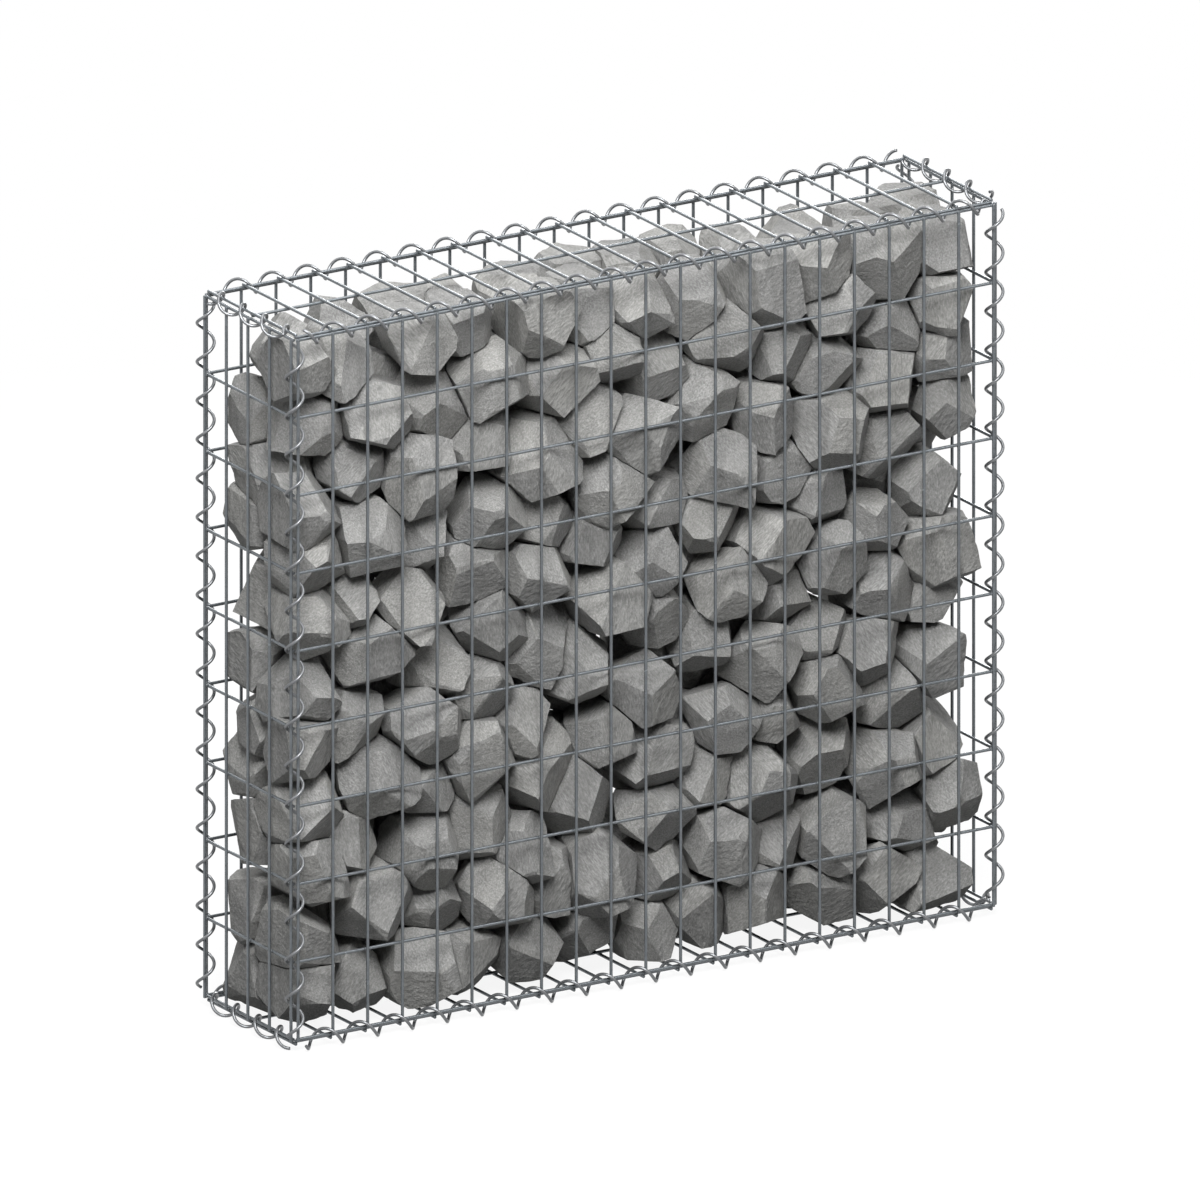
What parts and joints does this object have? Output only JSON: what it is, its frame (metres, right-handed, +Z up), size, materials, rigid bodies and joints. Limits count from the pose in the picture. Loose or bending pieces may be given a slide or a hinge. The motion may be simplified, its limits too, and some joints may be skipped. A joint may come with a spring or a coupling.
{
  "type": "gabion wall",
  "caption": "Free-standing gabion wall: a flat box of welded wire mesh panels, laced along every edge with wire spirals and filled with loosely packed broken grey stone",
  "frame": {"origin": "on the floor, under the middle of the basket", "axes": "x runs along the wall, y from the front to the back, z up"},
  "size_m": [1.0308, 0.2308, 0.9309],
  "materials": {
    "mesh_wire": "dull zinc-galvanised welded wire",
    "spiral_wire": "bright zinc-galvanised spring wire",
    "stone": "rough broken faces with a fine streaky grain"
  },
  "bodies": {
    "root": {"base_panel": "mesh_wire", "front_panel": "mesh_wire", "back_panel": "mesh_wire", "left_end_panel": "mesh_wire", "right_end_panel": "mesh_wire", "lid_panel": "mesh_wire", "bottom_front_spiral": "spiral_wire", "bottom_back_spiral": "spiral_wire", "bottom_left_spiral": "spiral_wire", "bottom_right_spiral": "spiral_wire", "front_left_spiral": "spiral_wire", "front_right_spiral": "spiral_wire", "back_left_spiral": "spiral_wire", "back_right_spiral": "spiral_wire", "top_front_spiral": "spiral_wire", "top_back_spiral": "spiral_wire", "top_left_spiral": "spiral_wire", "top_right_spiral": "spiral_wire", "stone_course_01": "stone", "stone_course_02": "stone", "stone_course_03": "stone", "stone_course_04": "stone", "stone_course_05": "stone", "stone_course_06": "stone", "stone_course_07": "stone", "stone_course_08": "stone", "stone_course_09": "stone", "stone_course_10": "stone", "stone_course_11": "stone"}
  },
  "joints": []
}
